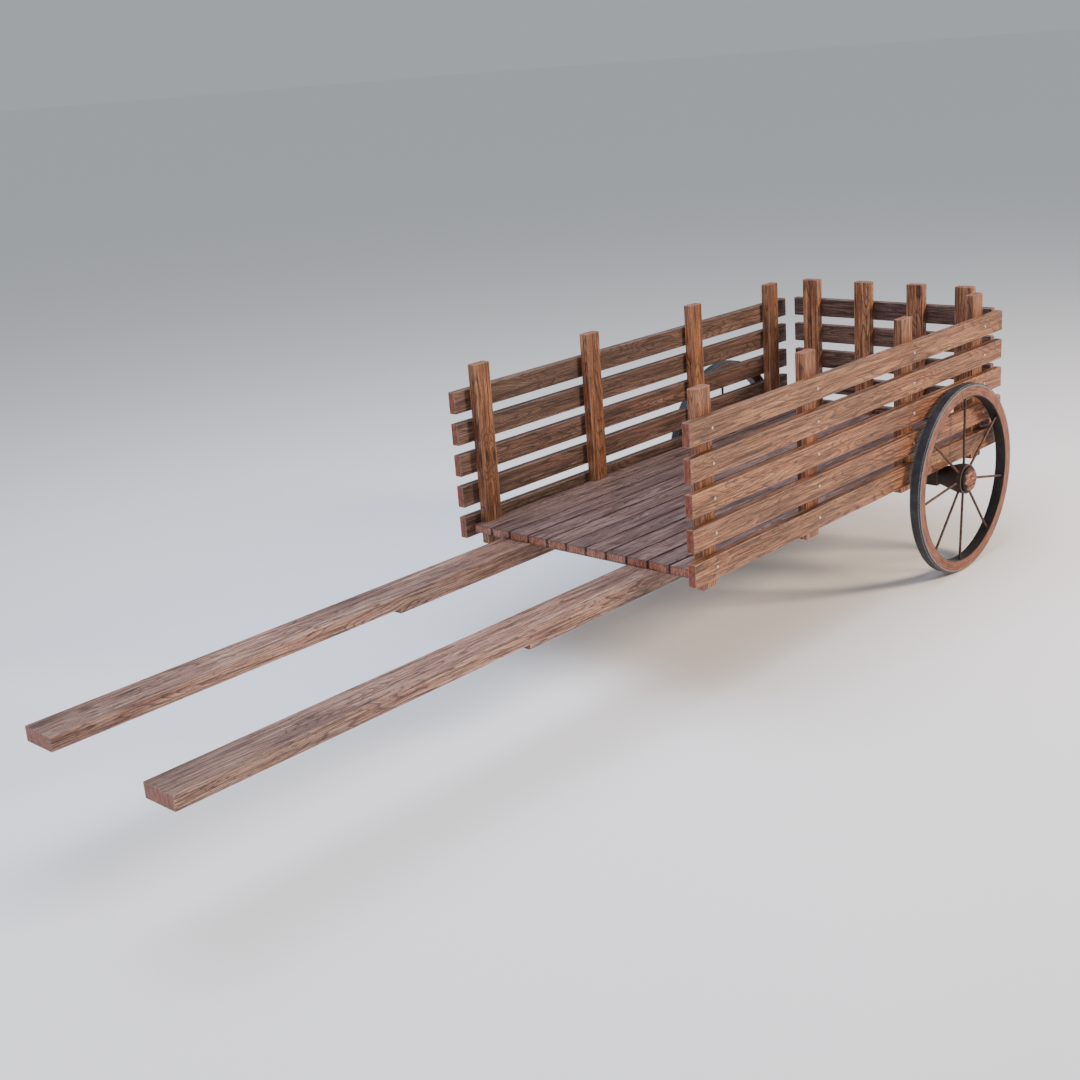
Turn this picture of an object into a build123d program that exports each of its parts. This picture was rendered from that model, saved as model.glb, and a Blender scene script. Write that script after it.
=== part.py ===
from build123d import *
import os

# Two-wheeled wooden cart with slatted sides and a pair of long straight shafts.
# Frame: +X forwards to the shaft tips, +Y to the left side, +Z up, Z = 0 on the ground.
# All lengths in millimetres.

os.makedirs("parts", exist_ok=True)

# ---- driving dimensions -------------------------------------------------------------
# wheels
tyre_radius = 412.0
tyre_thickness = 10.0
tyre_bevel = 6.0
rim_depth = 39.5              # radial depth of the bent wooden rim
hoop_thickness = 4.0          # iron hoop that lines the rim
wheel_width = 48.5
wheel_face_y = 650.0          # outer face of the wheel
wheel_setback = 1811.0        # axle centre behind the deck's front end
spoke_radius = 5.5
spoke_seat = 12.0             # how far a spoke is let into the rim
spoke_plane = 17.0            # spokes lie this far inside the wheel's outer face
spoke_angles = (355, 39, 91, 144, 192, 232, 274, 313)
rim_joint_angle = 82.0
rim_joint_gap = 4.0
rim_joint_slant = 12.0
rim_set_in = 0.5              # rim face behind the tyre's edge
hoop_set_in = 2.0

# hub, turned in one piece
hub_back_y = 535.0
hub_back_radius = 40.0
barrel_back_y = 618.0
barrel_front_y = 652.0
barrel_radius = 65.0
barrel_lip = 6.0
lip_depth = 4.0
barrel_round = 4.0
neck_radius = 50.0
neck_end_y = 655.0
cap_end_y = 672.0
cap_edge = 6.0
cap_edge_step = 2.0
spigot_y = 652.5
nut_pocket_radius = 28.0
nut_pocket_y = 630.0

# axle
axle_bar_radius = 16.0
axle_clearance = 0.08
axle_beam_size = 78.0
axle_beam_half_length = 530.0
axle_bar_end_y = 650.0
washer_thickness = 4.0
washer_radius = 26.0
thrust_washer_radius = 36.0
end_play = 0.4
nut_across_flats = 44.0
nut_height = 13.0

# deck
deck_top = 526.0
deck_thickness = 32.0
deck_width = 1070.0
deck_length = 2276.0
deck_boards = 11
board_gap = 7.0
shaft_reach = 2051.0          # shaft tips ahead of the deck's front end

# sides
bed_inner_width = 1100.0      # between the inner faces of the side slats
slat_height = 86.0
slat_pitch = 126.0
slat_thickness = 33.0
top_slat_rise = 538.0         # top edge of the highest slat above the deck
slat_front_overhang = 33.0
side_slat_rear = 2249.0
slats_per_side = 5
side_post_places = (94.5, 756.0, 1473.5, 2085.0)
post_width = 84.0
post_depth = 38.0
post_rise = 634.0
post_drop = 94.0

# tailgate
tail_slat_thickness = 30.0
tail_slat_half_length = 519.0
tail_post_places = (-402.0, -118.0, 157.0, 399.0)

# shafts
shaft_inner_y = 243.0
shaft_width = 142.0
shaft_thin = 49.5
shaft_thick = 68.5
shaft_step_reach = 673.0      # where the shaft steps down to its thin front part

# bearers under the deck
bearer_width = 70.0
bearer_depth = 32.0

# fixings
nail_radius = 3.0
nail_head_radius = 5.5
nail_head_height = 3.0
nail_head_round = 2.1
nail_length = 60.0
nail_clearance = 0.05
bolt_radius = 5.0
bolt_offset = 28.0
bolt_nut_height = 8.0
bolt_tail = 4.0               # thread showing below the nut
bolt_top_gap = 4.0

edge_chamfer = 2.0

# ---- places worked out from them ----------------------------------------------------
tail_back = deck_length + tail_slat_thickness
deck_front_x = (tail_back - shaft_reach) / 2
deck_bottom = deck_top - deck_thickness
axle_x = deck_front_x - wheel_setback
axle_z = tyre_radius
half_inner = bed_inner_width / 2
board_width = (deck_width - board_gap * (deck_boards - 1)) / deck_boards
post_inner_y = half_inner - post_depth
tail_inner_x = deck_front_x - deck_length
slat_levels = [deck_top + top_slat_rise - slat_pitch * i for i in range(slats_per_side)]
side_post_x = [deck_front_x - place for place in side_post_places]
rim_outer = tyre_radius - tyre_thickness
rim_inner = rim_outer - rim_depth
hoop_inner = rim_inner - hoop_thickness


def block(low, high, chamfered=edge_chamfer):
    """A timber between two corners, with its edges eased."""
    size = [b - a for a, b in zip(low, high)]
    middle = [(a + b) / 2 for a, b in zip(low, high)]
    timber = Box(*size)
    if chamfered:
        timber = chamfer(timber.edges(), chamfered)
    return Pos(*middle) * timber


def rod(start, direction, length, radius):
    """A round rod from a start point along a direction."""
    plane = Plane(origin=start, z_dir=direction)
    return plane * Cylinder(radius, length, align=(Align.CENTER, Align.CENTER, Align.MIN))


def turned(profile):
    """A solid turned about the Y axis from (radius, y) points."""
    return revolve(make_face(Polyline(*profile, close=True)), Axis.Y)


def write(solid, name):
    export_step(solid, f"parts/{name}.step")


# ---- posts --------------------------------------------------------------------------
post_bottom = deck_top - post_drop
post_top = deck_top + post_rise


def side_post(x, side):
    y_inner = side * post_inner_y
    y_outer = side * half_inner
    low = (x - post_width / 2, min(y_inner, y_outer), post_bottom)
    high = (x + post_width / 2, max(y_inner, y_outer), post_top)
    return block(low, high)


def tail_post(y):
    low = (tail_inner_x, y - post_width / 2, post_bottom)
    high = (tail_inner_x + post_depth, y + post_width / 2, post_top)
    return block(low, high)


# ---- nails, one at each crossing of a slat and a post -------------------------------
def nail(point, direction):
    """A round-headed nail whose head sits on the surface at the point."""
    into = Vector(*direction) * -1
    shank = rod(point, into, nail_length, nail_radius)
    dome = Plane(origin=point, z_dir=direction) * Cylinder(
        nail_head_radius, nail_head_height, align=(Align.CENTER, Align.CENTER, Align.MIN))
    dome = fillet(dome.edges().sort_by(Axis((0, 0, 0), direction))[-1], nail_head_round)
    return shank + dome


side_nails = []
for side in (1, -1):
    for x in side_post_x:
        for level in slat_levels:
            point = (x, side * (half_inner + slat_thickness), level - slat_height / 2)
            side_nails.append((point, (0, side, 0)))

tail_nails = []
for y in tail_post_places:
    for level in slat_levels:
        point = (tail_inner_x - tail_slat_thickness, y, level - slat_height / 2)
        tail_nails.append((point, (-1, 0, 0)))


def drill_nails(solid, places):
    """Cuts the shank holes of the nails whose heads sit at the places."""
    for point, direction in places:
        into = Vector(*direction) * -1
        solid = solid - rod(point, into, nail_length, nail_radius + nail_clearance)
    return solid


# ---- deck ---------------------------------------------------------------------------
post_notches = []
for x in side_post_x:
    for side in (1, -1):
        post_notches.append(side_post(x, side).bounding_box())
for y in tail_post_places:
    post_notches.append(tail_post(y).bounding_box())

for number in range(deck_boards):
    y_low = -deck_width / 2 + number * (board_width + board_gap)
    y_high = y_low + board_width
    board = block((tail_inner_x, y_low, deck_bottom), (deck_front_x, y_high, deck_top))
    for notch in post_notches:
        if notch.max.Y > y_low and notch.min.Y < y_high:
            board = board - block(tuple(notch.min), tuple(notch.max), chamfered=0)
    write(board, f"deck_board_{number + 1:02d}")

# ---- bearers across the shafts, between the posts -----------------------------------
bearer_boxes = []
for x in side_post_x:
    rear = x - post_width / 2
    low = (rear, -post_inner_y, deck_bottom - bearer_depth)
    high = (rear + bearer_width, post_inner_y, deck_bottom)
    bearer_boxes.append((low, high))

for number, (low, high) in enumerate(bearer_boxes):
    write(block(low, high), f"cross_bearer_{number + 1}")

# ---- axle beam and the iron bar let through it --------------------------------------
half_beam = axle_beam_size / 2
beam_low = (axle_x - half_beam, -axle_beam_half_length, axle_z - half_beam)
beam_high = (axle_x + half_beam, axle_beam_half_length, axle_z + half_beam)
bolt_places = [(axle_x + dx, side * (shaft_inner_y + shaft_width / 2))
               for dx in (-bolt_offset, bolt_offset) for side in (1, -1)]
bolt_top = deck_bottom - bolt_top_gap
bolt_bottom = axle_z - half_beam - bolt_nut_height


def bolt_hole(x, y):
    height = deck_bottom - bolt_bottom
    return rod((x, y, bolt_bottom), (0, 0, 1), height, bolt_radius + nail_clearance)


axle_beam = block(beam_low, beam_high)
bar_hole = rod((axle_x, -axle_beam_half_length - 1, axle_z), (0, 1, 0),
               2 * axle_beam_half_length + 2, axle_bar_radius + nail_clearance)
axle_beam = axle_beam - bar_hole
for x, y in bolt_places:
    axle_beam = axle_beam - bolt_hole(x, y)
write(axle_beam, "axle_beam")

axle_bar = rod((axle_x, -axle_bar_end_y, axle_z), (0, 1, 0), 2 * axle_bar_end_y, axle_bar_radius)
axle_bar = chamfer(axle_bar.edges().filter_by(GeomType.CIRCLE), edge_chamfer)
write(axle_bar, "axle_bar")

# ---- shafts, stepped in front, let over the axle beam and under the bearers ----------
for side, name in ((1, "shaft_left"), (-1, "shaft_right")):
    y_inner = side * shaft_inner_y
    y_outer = side * (shaft_inner_y + shaft_width)
    y_low = min(y_inner, y_outer)
    y_high = max(y_inner, y_outer)
    step_x = deck_front_x + shaft_step_reach
    rear_x = tail_inner_x + post_depth
    tip_x = deck_front_x + shaft_reach
    shaft = block((rear_x, y_low, deck_bottom - shaft_thick), (tip_x, y_high, deck_bottom))
    relief = block((step_x, y_low - 1, deck_bottom - shaft_thick - 1),
                   (tip_x + 1, y_high + 1, deck_bottom - shaft_thin), chamfered=0)
    shaft = shaft - relief
    for low, high in bearer_boxes:
        shaft = shaft - block(low, high, chamfered=0)
    shaft = shaft - block(beam_low, beam_high, chamfered=0)
    for x, y in bolt_places:
        if y_low < y < y_high:
            shaft = shaft - bolt_hole(x, y)
    write(shaft, name)

# ---- side panels ----------------------------------------------------------------------
for side, name in ((1, "left"), (-1, "right")):
    nails_here = [n for n in side_nails if n[1][1] == side]
    y_inner = side * half_inner
    y_outer = side * (half_inner + slat_thickness)
    for number, level in enumerate(slat_levels):
        low = (deck_front_x - side_slat_rear, min(y_inner, y_outer), level - slat_height)
        high = (deck_front_x + slat_front_overhang, max(y_inner, y_outer), level)
        nails_in_slat = [n for n in nails_here if low[2] < n[0][2] < high[2]]
        write(drill_nails(block(low, high), nails_in_slat), f"{name}_slat_{number + 1}")
    for number, x in enumerate(side_post_x):
        nails_in_post = [n for n in nails_here if abs(n[0][0] - x) < 1]
        write(drill_nails(side_post(x, side), nails_in_post), f"{name}_post_{number + 1}")

# ---- tailgate -------------------------------------------------------------------------
for number, level in enumerate(slat_levels):
    low = (tail_inner_x - tail_slat_thickness, -tail_slat_half_length, level - slat_height)
    high = (tail_inner_x, tail_slat_half_length, level)
    nails_in_slat = [n for n in tail_nails if low[2] < n[0][2] < high[2]]
    write(drill_nails(block(low, high), nails_in_slat), f"tail_slat_{number + 1}")
for number, y in enumerate(tail_post_places):
    nails_in_post = [n for n in tail_nails if abs(n[0][1] - y) < 1]
    write(drill_nails(tail_post(y), nails_in_post), f"tail_post_{number + 1}")

write(Compound([nail(*place) for place in side_nails + tail_nails]), "slat_nails")

# ---- axle fixings: thrust washers, wheel nuts with washers, beam bolts ------------------


def washer(y, thickness, radius):
    ring = Cylinder(radius, thickness) - Cylinder(axle_bar_radius + nail_clearance, thickness + 1)
    return Pos(axle_x, y + thickness / 2, axle_z) * Rot(90, 0, 0) * ring


def wheel_nut(y):
    hexagon = RegularPolygon(nut_across_flats / 2, 6, major_radius=False)
    nut = extrude(hexagon, nut_height) - Cylinder(axle_bar_radius + nail_clearance, 3 * nut_height)
    return Pos(axle_x, y + nut_height, axle_z) * Rot(90, 0, 0) * nut


def beam_bolt(x, y):
    """A bolt up through the beam and the shaft, with a round nut under the beam."""
    stem = rod((x, y, bolt_bottom - bolt_tail), (0, 0, 1),
               bolt_top - bolt_bottom + bolt_tail, bolt_radius)
    nut = rod((x, y, bolt_bottom), (0, 0, 1), bolt_nut_height, 2 * bolt_radius)
    return stem + nut


left_fixings = [washer(axle_beam_half_length + end_play / 2, hub_back_y - axle_beam_half_length
                       - end_play * 1.5, thrust_washer_radius),
                washer(nut_pocket_y + end_play, washer_thickness, washer_radius),
                wheel_nut(nut_pocket_y + end_play + washer_thickness)]
right_fixings = [mirror(piece, about=Plane.XZ) for piece in left_fixings]
bolts = [beam_bolt(x, y) for x, y in bolt_places]
write(Compound(left_fixings + right_fixings + bolts), "axle_fixings")


# ---- wheels -----------------------------------------------------------------------------
def ring(inner, outer, y_low, y_high):
    return turned([(inner, y_low), (outer, y_low), (outer, y_high), (inner, y_high)])


def spoke(angle, start, end, radius):
    across = Vector(1, 0, 0).rotate(Axis.Y, -angle)
    origin = across * start + Vector(0, wheel_face_y - spoke_plane, 0)
    return rod(tuple(origin), tuple(across), end - start, radius)


spoke_start = neck_radius
spoke_end = rim_inner + spoke_seat
spokes = [spoke(a, spoke_start, spoke_end, spoke_radius) for a in spoke_angles]
spoke_holes = [spoke(a, spoke_start, spoke_end, spoke_radius + nail_clearance) for a in spoke_angles]


def with_spoke_holes(solid):
    for hole in spoke_holes:
        solid = solid - hole
    return solid


wheel_back_y = wheel_face_y - wheel_width
tyre = turned([(rim_outer, wheel_back_y), (tyre_radius - tyre_bevel, wheel_back_y),
               (tyre_radius, wheel_back_y + tyre_bevel), (tyre_radius, wheel_face_y - tyre_bevel),
               (tyre_radius - tyre_bevel, wheel_face_y), (rim_outer, wheel_face_y)])
rim = with_spoke_holes(ring(rim_inner, rim_outer, wheel_back_y + rim_set_in,
                            wheel_face_y - rim_set_in))
rim_joint = Box(rim_depth * 2, wheel_width * 2, rim_joint_gap)
joint_middle = Vector(1, 0, 0).rotate(Axis.Y, -rim_joint_angle) * (rim_inner + rim_depth / 2)
rim_joint = Pos(joint_middle.X, wheel_face_y - wheel_width / 2, joint_middle.Z) * (
    Rot(0, -(rim_joint_angle - rim_joint_slant), 0) * rim_joint)
rim = rim - rim_joint
hoop = with_spoke_holes(ring(hoop_inner, rim_inner, wheel_back_y + hoop_set_in,
                             wheel_face_y - hoop_set_in))

bore_radius = axle_bar_radius + axle_clearance
hub_profile = [(bore_radius, hub_back_y), (hub_back_radius, hub_back_y),
               (barrel_radius - 1, barrel_back_y), (barrel_radius, barrel_back_y + barrel_round),
               (barrel_radius, barrel_front_y), (barrel_radius - barrel_lip, barrel_front_y),
               (barrel_radius - barrel_lip, barrel_front_y - lip_depth),
               (neck_radius, barrel_front_y - lip_depth), (neck_radius, neck_end_y),
               (nut_pocket_radius, neck_end_y), (nut_pocket_radius, nut_pocket_y),
               (bore_radius, nut_pocket_y)]
hub = with_spoke_holes(turned(hub_profile))
spigot_radius = nut_pocket_radius - nail_clearance
cap = turned([(0, spigot_y), (spigot_radius, spigot_y), (spigot_radius, neck_end_y),
              (neck_radius, neck_end_y), (neck_radius, cap_end_y - cap_edge),
              (neck_radius - cap_edge_step, cap_end_y - cap_edge_step),
              (neck_radius - cap_edge, cap_end_y), (0, cap_end_y)])

wheel_pieces = {"tyre": tyre, "rim": rim, "inner_hoop": hoop, "spokes": Compound(spokes),
                "hub": hub, "hub_cap": cap}
for piece_name, piece in wheel_pieces.items():
    left = Pos(axle_x, 0, axle_z) * piece
    write(left, f"left_{piece_name}")
    write(mirror(left, about=Plane.XZ), f"right_{piece_name}")
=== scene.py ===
import math
import random

import bmesh
import bpy
from mathutils import Matrix, Vector


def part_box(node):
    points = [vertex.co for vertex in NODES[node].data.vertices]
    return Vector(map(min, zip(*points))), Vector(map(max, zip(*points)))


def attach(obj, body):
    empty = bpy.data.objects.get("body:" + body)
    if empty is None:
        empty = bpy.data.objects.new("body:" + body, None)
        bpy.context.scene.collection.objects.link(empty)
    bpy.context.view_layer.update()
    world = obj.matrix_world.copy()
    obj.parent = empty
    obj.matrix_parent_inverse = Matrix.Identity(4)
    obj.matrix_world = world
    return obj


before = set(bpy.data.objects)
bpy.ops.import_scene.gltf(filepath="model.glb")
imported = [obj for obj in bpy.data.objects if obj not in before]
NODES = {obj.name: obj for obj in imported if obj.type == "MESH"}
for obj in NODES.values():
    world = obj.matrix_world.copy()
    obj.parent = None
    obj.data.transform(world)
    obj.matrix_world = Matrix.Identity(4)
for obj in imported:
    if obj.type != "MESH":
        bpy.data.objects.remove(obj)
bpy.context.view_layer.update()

MM = 0.001
WHEELS = {"left": 1, "right": -1}

# iron band on each hub's neck, in mm
BAND_BACK = 649
BAND_FRONT = 665
BAND_CLEARANCE = 0.3
BAND_THICKNESS = 4.2
BAND_BEVEL = 1.5
BAND_STEPS = 72

# pattern sizes, as marks to the metre across the grain; the finest are drawn coarser
# than the real ones so that they show
FIBRES = 230                  # 4 mm apart
STREAKS = 62                  # 16 mm apart
PORES = 420                   # 2 mm apart
WEATHER_BANDS = 6             # 170 mm apart
FIGURE = 11                   # the slow field that the growth rings follow, 90 mm
RINGS_IN_FIGURE = 24.0        # cuts that field into lines about 6 mm apart
END_STRIPES = 170             # 6 mm apart
KNOTS = 5.0                   # 200 mm apart, dark cores about 25 mm across

# arris finishes: rubbed wear, and painted shade along the deck's gaps
ARRIS_RADIUS = 4.0
GAP_SHADE_RADIUS = 9.0
RUBBED = "#B7A093"
# painted shade: near-black laid on the deck boards' arrises so the gaps between them read dark
PAINTED_GAP_SHADE = "#1E1613"


def linear(hex_colour, alpha=1.0):
    """An sRGB hex colour as the linear RGBA that a shader takes."""
    channels = [int(hex_colour[i:i + 2], 16) / 255 for i in (1, 3, 5)]
    return tuple(c / 12.92 if c <= 0.04045 else ((c + 0.055) / 1.055) ** 2.4
                 for c in channels) + (alpha,)


def node(tree, kind, settings=None, inputs=None, stops=None):
    """Adds one shader node: its settings, values or links on its inputs, ramp stops."""
    made = tree.nodes.new(kind)
    for name, value in (settings or {}).items():
        setattr(made, name, value)
    for name, value in (inputs or {}).items():
        if isinstance(value, bpy.types.NodeSocket):
            tree.links.new(value, made.inputs[name])
        else:
            made.inputs[name].default_value = value
    for number, (place, colour) in enumerate(stops or ()):
        element = (made.color_ramp.elements[number] if number < 2
                   else made.color_ramp.elements.new(place))
        element.position = place
        element.color = linear(colour)
    return made


# node kinds used often
RAMP = "ShaderNodeValToRGB"
MATH = "ShaderNodeMath"
MIX = "ShaderNodeMix"
NOISE = "ShaderNodeTexNoise"
MULTIPLY = {"operation": "MULTIPLY"}
TINT = {"data_type": "RGBA", "blend_type": "MULTIPLY"}
BLEND = {"data_type": "RGBA", "blend_type": "MIX"}
MIXED = 2                     # a mix node's colour output
FIRST, SECOND = 6, 7          # a mix node's colour inputs


def new_material(name):
    material = bpy.data.materials.new(name)
    material.use_nodes = True
    tree = material.node_tree
    return material, tree, tree.nodes["Principled BSDF"]


def edge_mask(tree, radius_mm, start, end):
    """1 along the arrises and 0 on flat faces, from how far a rounded normal leans."""
    rounded = node(tree, "ShaderNodeBevel", {"samples": 4}, {"Radius": radius_mm * MM})
    true_normal = node(tree, "ShaderNodeNewGeometry").outputs["True Normal"]
    lean = node(tree, "ShaderNodeVectorMath", {"operation": "DOT_PRODUCT"},
                {0: rounded.outputs[0], 1: true_normal}).outputs["Value"]
    return node(tree, "ShaderNodeMapRange", {"clamp": True},
                {"Value": lean, "From Min": end, "From Max": start,
                 "To Min": 1.0, "To Max": 0.0}).outputs[0]


# ---- finishes -------------------------------------------------------------------------

AXES = {"x": (1, 0, 0), "y": (0, 1, 0), "z": (0, 0, 1)}


def oiled_hardwood(name, grain, seed, tones, end_tone, roughness=0.5, arris=RUBBED):
    """Oiled red hardwood, sawn: crisp thin dark grain lines that wander and arch, open
    pores, a few small knots, greyer weathered bands, and ringed end grain."""
    material, tree, shader = new_material(name)
    draw = random.Random(seed)
    dark, middle, light = tones
    along = Vector(AXES[grain])
    offset = [draw.uniform(-40, 40) for _ in range(3)]
    coords = node(tree, "ShaderNodeTexCoord")

    def stretched(times):
        """Object coordinates squeezed along the grain, each timber in its own place."""
        return node(tree, "ShaderNodeMapping", inputs={
            "Vector": coords.outputs["Object"], "Location": offset,
            "Scale": [1.0 / times if a else 1.0 for a in along]}).outputs[0]

    # small knots, well apart, with the grain bending round them
    knots = node(tree, "ShaderNodeTexVoronoi", {}, {
        "Vector": stretched(3.0), "Scale": KNOTS}).outputs["Distance"]
    knot = node(tree, "ShaderNodeMapRange", {"clamp": True}, {
        "Value": knots, "From Min": 0.03, "From Max": 0.20, "To Min": 1.0,
        "To Max": 0.0}).outputs[0]

    # growth rings cut lengthwise: sharp dark lines that arch along a slow field
    field = node(tree, NOISE, {}, {
        "Vector": stretched(9.0), "Scale": FIGURE, "Detail": 2.0, "Roughness": 0.4,
        "Distortion": 0.2}).outputs[0]
    bent = node(tree, MATH, {"operation": "MULTIPLY_ADD"},
                {0: knot, 1: 0.14, 2: field}).outputs[0]
    phase = node(tree, MATH, MULTIPLY, {0: bent, 1: RINGS_IN_FIGURE}).outputs[0]
    saw = node(tree, MATH, {"operation": "FRACT"}, {0: phase}).outputs[0]
    ring_tint = node(tree, RAMP, {}, {"Fac": saw}, (
        (0.0, "#FFFFFF"), (0.55, "#E9DED6"), (0.84, "#6E5143"), (0.96, "#FFFFFF")))

    # fibres, broader streaks, open pores and weathered bands
    fibre = node(tree, NOISE, {}, {
        "Vector": stretched(48.0), "Scale": FIBRES, "Detail": 5.0,
        "Roughness": 0.75}).outputs[0]
    streak = node(tree, NOISE, {}, {
        "Vector": stretched(30.0), "Scale": STREAKS, "Detail": 6.0,
        "Roughness": 0.72}).outputs[0]
    pores = node(tree, NOISE, {}, {
        "Vector": stretched(9.0), "Scale": PORES, "Detail": 2.0}).outputs[0]
    weather = node(tree, NOISE, {}, {
        "Vector": stretched(4.0), "Scale": WEATHER_BANDS, "Detail": 4.0,
        "Roughness": 0.6}).outputs[0]

    ground = node(tree, RAMP, {}, {"Fac": streak}, (
        (0.34, dark), (0.48, middle), (0.64, light))).outputs[0]
    tints = (
        (0.8, ring_tint.outputs[0]),
        (0.95, node(tree, RAMP, {}, {"Fac": fibre}, (
            (0.38, "#4E423B"), (0.47, "#C4B6AC"), (0.54, "#FFFFFF"))).outputs[0]),
        (0.8, node(tree, RAMP, {}, {"Fac": pores}, (
            (0.34, "#3E2E27"), (0.41, "#FFFFFF"))).outputs[0]),
        (0.7, node(tree, RAMP, {}, {"Fac": weather}, (
            (0.34, "#9A9594"), (0.62, "#FFFFFF"))).outputs[0]),
        (0.85, node(tree, RAMP, {}, {"Fac": knot}, (
            (0.8, "#FFFFFF"), (0.97, "#4A2C22"))).outputs[0]))
    for strength, tint in tints:
        ground = node(tree, MIX, TINT, {"Factor": strength, FIRST: ground,
                                        SECOND: tint}).outputs[MIXED]
    lift = draw.uniform(0.84, 1.0)
    shade = tuple([lift * draw.uniform(0.97, 1.0) for _ in range(3)] + [1.0])
    ground = node(tree, MIX, TINT, {"Factor": 1.0, FIRST: ground,
                                    SECOND: shade}).outputs[MIXED]

    # end grain: darker, with the rings as stripes across the sawn end
    facing = node(tree, "ShaderNodeVectorMath", {"operation": "DOT_PRODUCT"},
                  {0: coords.outputs["Normal"], 1: tuple(along)}).outputs["Value"]
    facing = node(tree, MATH, {"operation": "ABSOLUTE"}, {0: facing}).outputs[0]
    end_mask = node(tree, MATH, {"operation": "GREATER_THAN"}, {0: facing, 1: 0.8}).outputs[0]
    cut = node(tree, "ShaderNodeMapping", inputs={
        "Vector": coords.outputs["Object"], "Location": offset,
        "Rotation": (draw.uniform(-0.4, 0.4),) * 3,
        "Scale": (1.0, 0.3, 1.0) if grain == "z" else (1.0, 1.0, 0.25)}).outputs[0]
    stripes = node(tree, NOISE, {}, {
        "Vector": cut, "Scale": END_STRIPES, "Detail": 4.0, "Roughness": 0.7}).outputs[0]
    end_tint = node(tree, RAMP, {}, {"Fac": stripes}, (
        (0.38, "#5B3A2E"), (0.5, "#C9A594"), (0.62, "#FFFFFF"))).outputs[0]
    end_colour = node(tree, MIX, TINT, {"Factor": 0.8, FIRST: linear(end_tone),
                                        SECOND: end_tint}).outputs[MIXED]
    colour = node(tree, MIX, BLEND, {"Factor": end_mask, FIRST: ground,
                                     SECOND: end_colour}).outputs[MIXED]

    # arrises are rubbed paler and greyer by hands and loads, or painted dark along the deck's
    # gaps as shade
    shaded_gaps = arris == PAINTED_GAP_SHADE
    mask = edge_mask(tree, GAP_SHADE_RADIUS if shaded_gaps else ARRIS_RADIUS, 0.985, 0.86)
    arris_wear_and_painted_light = node(tree, MATH, MULTIPLY, {0: mask, 1: 1.0 if shaded_gaps else fibre}).outputs[0]
    colour = node(tree, MIX, BLEND, {"Factor": arris_wear_and_painted_light, FIRST: colour,
                                     SECOND: linear(arris)}).outputs[MIXED]
    tree.links.new(colour, shader.inputs["Base Color"])

    rough = node(tree, "ShaderNodeMapRange", {}, {
        "Value": streak, "From Min": 0.3, "From Max": 0.7,
        "To Min": roughness + 0.1, "To Max": roughness - 0.08}).outputs[0]
    tree.links.new(rough, shader.inputs["Roughness"])
    relief = node(tree, MATH, {"operation": "MULTIPLY_ADD"},
                  {0: pores, 1: 0.5, 2: fibre}).outputs[0]
    bump = node(tree, "ShaderNodeBump", {}, {"Strength": 0.75, "Distance": 1.6 * MM,
                                             "Height": relief})
    tree.links.new(bump.outputs[0], shader.inputs["Normal"])
    shader.inputs["IOR"].default_value = 1.5
    return material


def around_axle(tree, coords, stretch, turn_scale):
    """Coordinates that follow a wheel: the unit direction from the axle stands for the
    angle, so the pattern closes on itself, and the distance runs along the third axis."""
    low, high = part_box("axle_beam")
    middle = (low + high) / 2
    moved = node(tree, "ShaderNodeVectorMath", {"operation": "SUBTRACT"},
                 {0: coords, 1: (middle.x, 0.0, middle.z)}).outputs[0]
    flat = node(tree, "ShaderNodeVectorMath", {"operation": "MULTIPLY"},
                {0: moved, 1: (1.0, 0.0, 1.0)}).outputs[0]
    radius = node(tree, "ShaderNodeVectorMath", {"operation": "LENGTH"},
                  {0: flat}).outputs["Value"]
    compass = node(tree, "ShaderNodeVectorMath", {"operation": "NORMALIZE"},
                   {0: flat}).outputs[0]
    turned = node(tree, "ShaderNodeVectorMath", {"operation": "SCALE"},
                  {0: compass, "Scale": turn_scale}).outputs[0]
    depth = node(tree, MATH, MULTIPLY, {0: radius, 1: stretch}).outputs[0]
    lift = node(tree, "ShaderNodeCombineXYZ", inputs={"Y": depth}).outputs[0]
    width = node(tree, "ShaderNodeVectorMath", {"operation": "MULTIPLY"},
                 {0: moved, 1: (0.0, stretch, 0.0)}).outputs[0]
    lifted = node(tree, "ShaderNodeVectorMath", {"operation": "ADD"},
                  {0: turned, 1: lift}).outputs[0]
    return node(tree, "ShaderNodeVectorMath", {"operation": "ADD"},
                {0: lifted, 1: width}).outputs[0]


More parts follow.
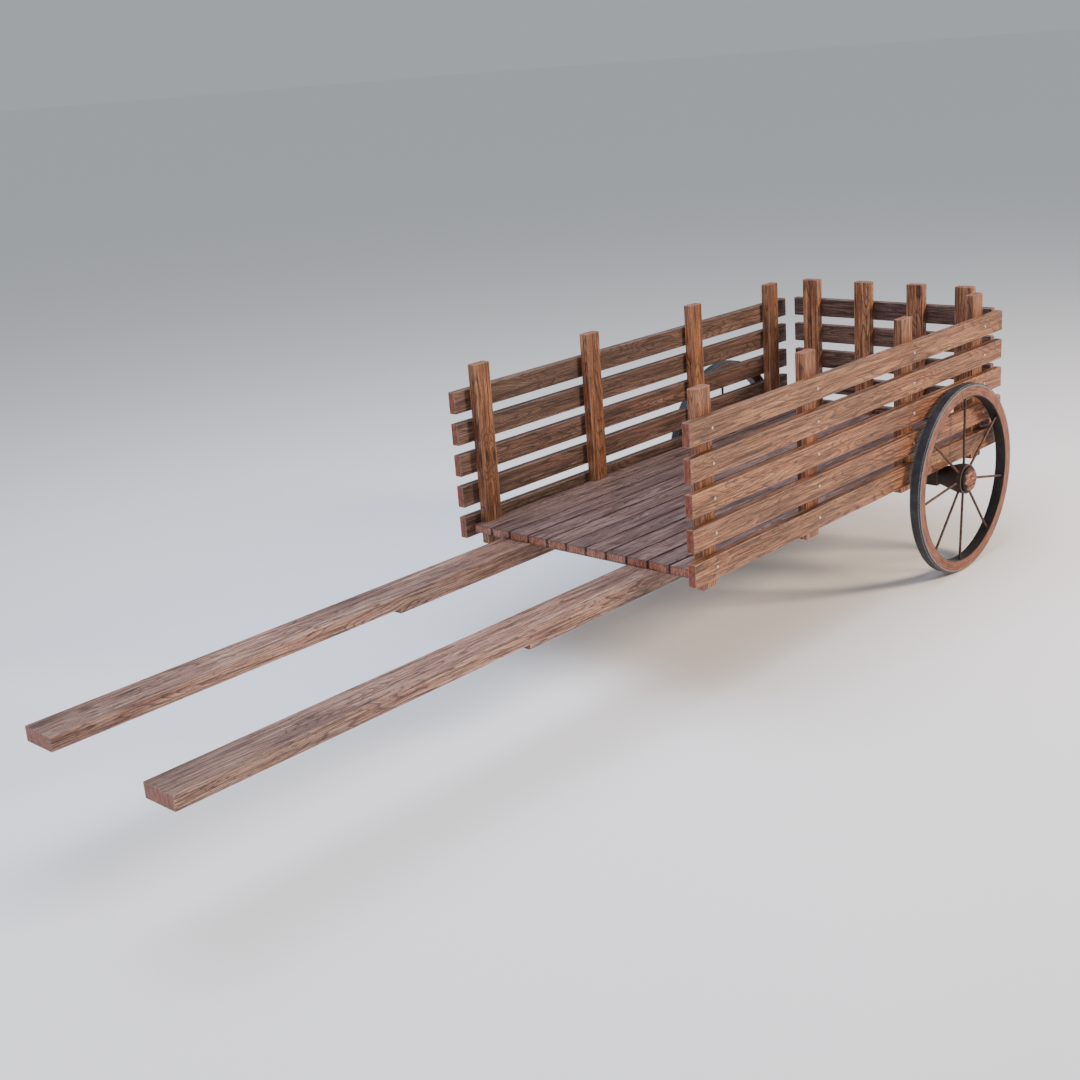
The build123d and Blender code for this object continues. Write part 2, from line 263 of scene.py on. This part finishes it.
def textured(name, stops, marks, roughness, relief, metallic=0.0, arris_wear_and_painted_light=None,
             turn=(0.0, 0.0, 0.0), squeeze=(1.0, 1.0, 1.0), round_wheel=False):
    """A finish whose colours and relief, in mm, come from one set of marks. The marks can be
    slanted and drawn out, or run round the wheel, and the arrises can be painted pale: wear on
    the wooden rim and hub, a painted highlight on the tyre."""
    material, tree, shader = new_material(name)
    place = node(tree, "ShaderNodeTexCoord").outputs["Object"]
    if round_wheel:
        place = around_axle(tree, place, 16.0, 0.5)
    else:
        place = node(tree, "ShaderNodeMapping", inputs={
            "Vector": place, "Rotation": turn, "Scale": squeeze}).outputs[0]
    per_metre, detail, rough_marks = marks
    pattern = node(tree, NOISE, {}, {"Vector": place, "Scale": per_metre, "Detail": detail,
                                     "Roughness": rough_marks}).outputs[0]
    colour = node(tree, RAMP, {}, {"Fac": pattern}, stops).outputs[0]
    # on the tyre the pale arris is a painted highlight; on the rim and hub it is wear
    if arris_wear_and_painted_light:
        amount, pale = arris_wear_and_painted_light
        arris_wear_and_highlight = node(tree, MATH, MULTIPLY, {0: edge_mask(tree, ARRIS_RADIUS, 0.98, 0.8),
                                             1: amount}).outputs[0]
        colour = node(tree, MIX, BLEND, {"Factor": arris_wear_and_highlight, FIRST: colour,
                                         SECOND: linear(pale)}).outputs[MIXED]
    tree.links.new(colour, shader.inputs["Base Color"])
    shader.inputs["Metallic"].default_value = metallic
    shader.inputs["Roughness"].default_value = roughness
    bump = node(tree, "ShaderNodeBump", {}, {"Strength": 0.6, "Distance": relief * MM,
                                             "Height": pattern})
    tree.links.new(bump.outputs[0], shader.inputs["Normal"])
    return material


# tones from dark to light for each use of the timber; some hold painted light, as noted
SIDE_TONES = ("#7A482E", "#B27851", "#CC986E")
# painted shade: a darker, greyer copy of the side timber for faces in the near side's shade
SHADED_FAR_SIDE_TONES = ("#5A3F35", "#7E5E51", "#98796B")
# deck and shaft tones: the wood's own red-brown, cooled to mauve-grey by a painted reflection
# of the sky on their oiled tops
DECK_TONES_WITH_PAINTED_SKY = ("#755850", "#A3837A", "#BE9F95")
SHAFT_TONES_WITH_PAINTED_SKY = ("#8A6454", "#C09582", "#DFBBA6")
# painted shade: nearly black for the bearers and axle beam, which sit in shadow under the bed
SHADED_UNDER_TONES = ("#20140F", "#33211A", "#4A3127")


def coat(name, material):
    """Puts one material on a CAD node."""
    mesh = NODES[name].data
    mesh.materials.clear()
    mesh.materials.append(material)


def finish_timbers():
    seed = 100
    for name in sorted(NODES):
        seed += 1
        if name.startswith("deck_board"):
            # the deck boards' arrises take the painted gap shade
            coat(name, oiled_hardwood(f"oiled_{name}", "x", seed, DECK_TONES_WITH_PAINTED_SKY, "#A0705E", 0.46,
                                        PAINTED_GAP_SHADE))
        elif name.startswith("shaft_"):
            # the shafts' tones carry a painted sky reflection
            coat(name, oiled_hardwood(f"oiled_{name}", "x", seed, SHAFT_TONES_WITH_PAINTED_SKY, "#8A523E", 0.46))
        elif name.startswith("cross_bearer") or name == "axle_beam":
            # the bearers and axle beam take painted shade
            coat(name, oiled_hardwood(f"oiled_{name}", "y", seed, SHADED_UNDER_TONES, "#4A2C20", 0.6))
        elif name.startswith("tail_slat"):
            # the tailgate slats take the same painted shade
            coat(name, oiled_hardwood(f"oiled_{name}", "y", seed, SHADED_FAR_SIDE_TONES, "#8A4E38"))
        elif "_slat_" in name:
            # the right side is seen from the bed, in the near side's shade, painted here as
            # darker, greyer tones
            tones = SHADED_FAR_SIDE_TONES if name.startswith("right") else SIDE_TONES
            coat(name, oiled_hardwood(f"oiled_{name}", "x", seed, tones, "#8A4E38"))
        elif "_post_" in name:
            coat(name, oiled_hardwood(f"oiled_{name}", "z", seed, SIDE_TONES, "#A2664A"))


def finish_wheels_and_iron():
    """Finishes for wheels, axle and nails. Marks are given as marks to the metre, how many
    finer sizes are laid over them, and how strong those are."""
    # hoop iron shrunk on hot: smooth blue-black scale, with a pale line painted along the arris
    # as a highlight
    tyre_iron = textured("shrunk_on_tyre_iron", (
        (0.3, "#24262A"), (0.5, "#2F3338"), (0.7, "#3E4247")), (14.0, 3.0, 0.66),
        roughness=0.5, relief=0.3, metallic=0.3, arris_wear_and_painted_light=(1.0, "#B4B6B8"))
    # the same iron lining the rim, never rubbed
    hoop_iron = textured("inner_hoop_iron", (
        (0.3, "#1E1C1C"), (0.6, "#2E2C2D")), (20.0, 5.0, 0.66),
        roughness=0.55, relief=0.3, metallic=0.3)
    # round rod left to rust: brown-black skin with warm patches some 17 mm across
    rod_iron = textured("rusty_rod_iron", (
        (0.3, "#241713"), (0.5, "#43302A"), (0.66, "#6A4636"), (0.8, "#7E5A48")),
        (60.0, 5.0, 0.66), roughness=0.6, relief=0.5, metallic=0.3)
    # dark hardwood turned on a lathe, its colour painted nearly black with the shade under the
    # bed, paler on its arrises
    shaded_hub_wood = textured("turned_hub_wood", (
        (0.36, "#100A07"), (0.5, "#24140F"), (0.64, "#40261C")), (120.0, 5.0, 0.66),
        roughness=0.6, relief=1.0, arris_wear_and_painted_light=(0.55, "#B09484"))
    # weathered end grain: raised ridges 10 mm apart with slanting dark checks between them
    cap_wood = textured("checked_end_grain", (
        (0.42, "#2E140B"), (0.48, "#653522"), (0.55, "#834C34"), (0.64, "#AE8067")),
        (95.0, 5.0, 0.66), roughness=0.7, relief=3.0,
        turn=(0.0, 0.65, 0.0), squeeze=(0.3, 1.0, 1.0))
    # steam-bent hardwood: thin dark grain lines 5 mm apart that run round the ring
    rim_wood = textured("bent_rim_wood", (
        (0.38, "#2C150C"), (0.46, "#603220"), (0.55, "#804A32"), (0.66, "#9C6748")),
        (13.0, 6.0, 0.72), roughness=0.55, relief=1.4, arris_wear_and_painted_light=(0.35, "#BF957A"),
        round_wheel=True)
    # hammered galvanised heads: grey zinc with dull spangles 4 mm across
    nail_zinc = textured("galvanised_nail_heads", (
        (0.3, "#8F8A84"), (0.6, "#CBC7C0")), (240.0, 3.0, 0.66),
        roughness=0.4, relief=0.2, metallic=0.6)
    for side in WHEELS:
        coat(f"{side}_tyre", tyre_iron)
        coat(f"{side}_inner_hoop", hoop_iron)
        coat(f"{side}_spokes", rod_iron)
        coat(f"{side}_hub", shaded_hub_wood)
        coat(f"{side}_hub_cap", cap_wood)
        coat(f"{side}_rim", rim_wood)
    coat("axle_bar", rod_iron)
    coat("axle_fixings", rod_iron)
    coat("slat_nails", nail_zinc)
    return hoop_iron


finish_timbers()
BAND_IRON = finish_wheels_and_iron()


# ---- pieces made here -------------------------------------------------------------------

def as_object(name, work, material, body):
    """Makes a bmesh into a piece that rides on a body."""
    bmesh.ops.recalc_face_normals(work, faces=work.faces)
    mesh = bpy.data.meshes.new(name)
    work.to_mesh(mesh)
    work.free()
    mesh.materials.append(material)
    piece = bpy.data.objects.new(name, mesh)
    bpy.context.scene.collection.objects.link(piece)
    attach(piece, body)
    return piece


def hub_band(side, direction):
    """The iron band shrunk on the hub's neck, just behind the end-grain cap."""
    cap_low, cap_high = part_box(f"{side}_hub_cap")
    centre = (cap_low + cap_high) / 2
    neck = (cap_high.x - cap_low.x) / 2
    inner = neck + BAND_CLEARANCE * MM
    outer = inner + BAND_THICKNESS * MM
    back = BAND_BACK * MM
    front = BAND_FRONT * MM
    edge = BAND_BEVEL * MM
    outline = [(inner, back), (outer - edge, back), (outer, back + edge), (outer, front - edge),
               (outer - edge, front), (inner, front)]
    work = bmesh.new()
    ring = [work.verts.new((centre.x + r, direction * y, centre.z)) for r, y in outline]
    edges = [work.edges.new((ring[i], ring[(i + 1) % len(ring)])) for i in range(len(ring))]
    bmesh.ops.spin(work, geom=ring + edges, cent=(centre.x, 0, centre.z), axis=(0, 1, 0),
                   angle=math.tau, steps=BAND_STEPS, use_merge=True)
    bmesh.ops.remove_doubles(work, verts=work.verts, dist=1e-6)
    piece = as_object(f"{side}_hub_band", work, BAND_IRON, f"{side}_wheel")
    for polygon in piece.data.polygons:
        polygon.use_smooth = True
    return piece


for side, direction in WHEELS.items():
    hub_band(side, direction)


# ---- stage, light and camera --------------------------------------------------------------

FLOOR_HALF_WIDTH = 400.0
CAMERA_PLACE = (4.0265, 3.5681, 2.2543)
CAMERA_HEADING = 223.88
CAMERA_DIP = -17.79
CAMERA_ROLL = -4.40
CAMERA_LENS = 49.585


def pale_floor():
    """A plain pale plaster floor so wide that its edge is lost in the pale surround."""
    material, _, shader = new_material("pale_plaster_floor")
    shader.inputs["Base Color"].default_value = linear("#F8F8F7")
    shader.inputs["Roughness"].default_value = 0.9
    work = bmesh.new()
    bmesh.ops.create_grid(work, x_segments=1, y_segments=1, size=FLOOR_HALF_WIDTH)
    mesh = bpy.data.meshes.new("floor")
    work.to_mesh(mesh)
    work.free()
    mesh.materials.append(material)
    floor = bpy.data.objects.new("floor", mesh)
    bpy.context.scene.collection.objects.link(floor)


def soft_light(name, place, aim, size, power, colour):
    data = bpy.data.lights.new(name, "AREA")
    data.shape = "SQUARE"
    data.size = size
    data.energy = power
    data.color = linear(colour)[:3]
    lamp = bpy.data.objects.new(name, data)
    lamp.location = place
    lamp.rotation_euler = (Vector(aim) - Vector(place)).to_track_quat("-Z", "Y").to_euler()
    bpy.context.scene.collection.objects.link(lamp)


def studio():
    """A warm lamp behind the left wheel, a wide cool one overhead and a weak one in front."""
    pale_floor()
    bed = (-0.7, 0.0, 0.6)
    soft_light("warm_key", (-4.6, 5.4, 3.6), bed, 1.6, 620, "#FFE3C6")
    soft_light("cool_overhead", (0.5, -0.5, 5.5), bed, 5.0, 420, "#DCE6FF")
    soft_light("front_fill", (6.0, 1.5, 2.5), bed, 4.0, 130, "#FFF4EA")
    world = bpy.data.worlds.new("studio")
    bpy.context.scene.world = world
    world.use_nodes = True
    background = world.node_tree.nodes["Background"]
    background.inputs["Color"].default_value = linear("#DDE4EC")
    background.inputs["Strength"].default_value = 0.55


def camera():
    """Stands ahead and to the left of the cart, looking back down on it."""
    heading, dip, roll = (math.radians(a) for a in (CAMERA_HEADING, CAMERA_DIP, CAMERA_ROLL))
    forward = Vector((math.cos(dip) * math.cos(heading), math.cos(dip) * math.sin(heading),
                      math.sin(dip)))
    level = forward.cross(Vector((0, 0, 1))).normalized()
    upright = level.cross(forward)
    right = level * math.cos(roll) + upright * math.sin(roll)
    up = upright * math.cos(roll) - level * math.sin(roll)
    data = bpy.data.cameras.new("camera")
    data.sensor_width = 36.0
    data.lens = CAMERA_LENS
    data.clip_end = 900.0
    eye = bpy.data.objects.new("camera", data)
    turn = Matrix((right, up, -forward)).transposed().to_4x4()
    eye.matrix_world = Matrix.Translation(CAMERA_PLACE) @ turn
    bpy.context.scene.collection.objects.link(eye)
    bpy.context.scene.camera = eye


studio()
camera()
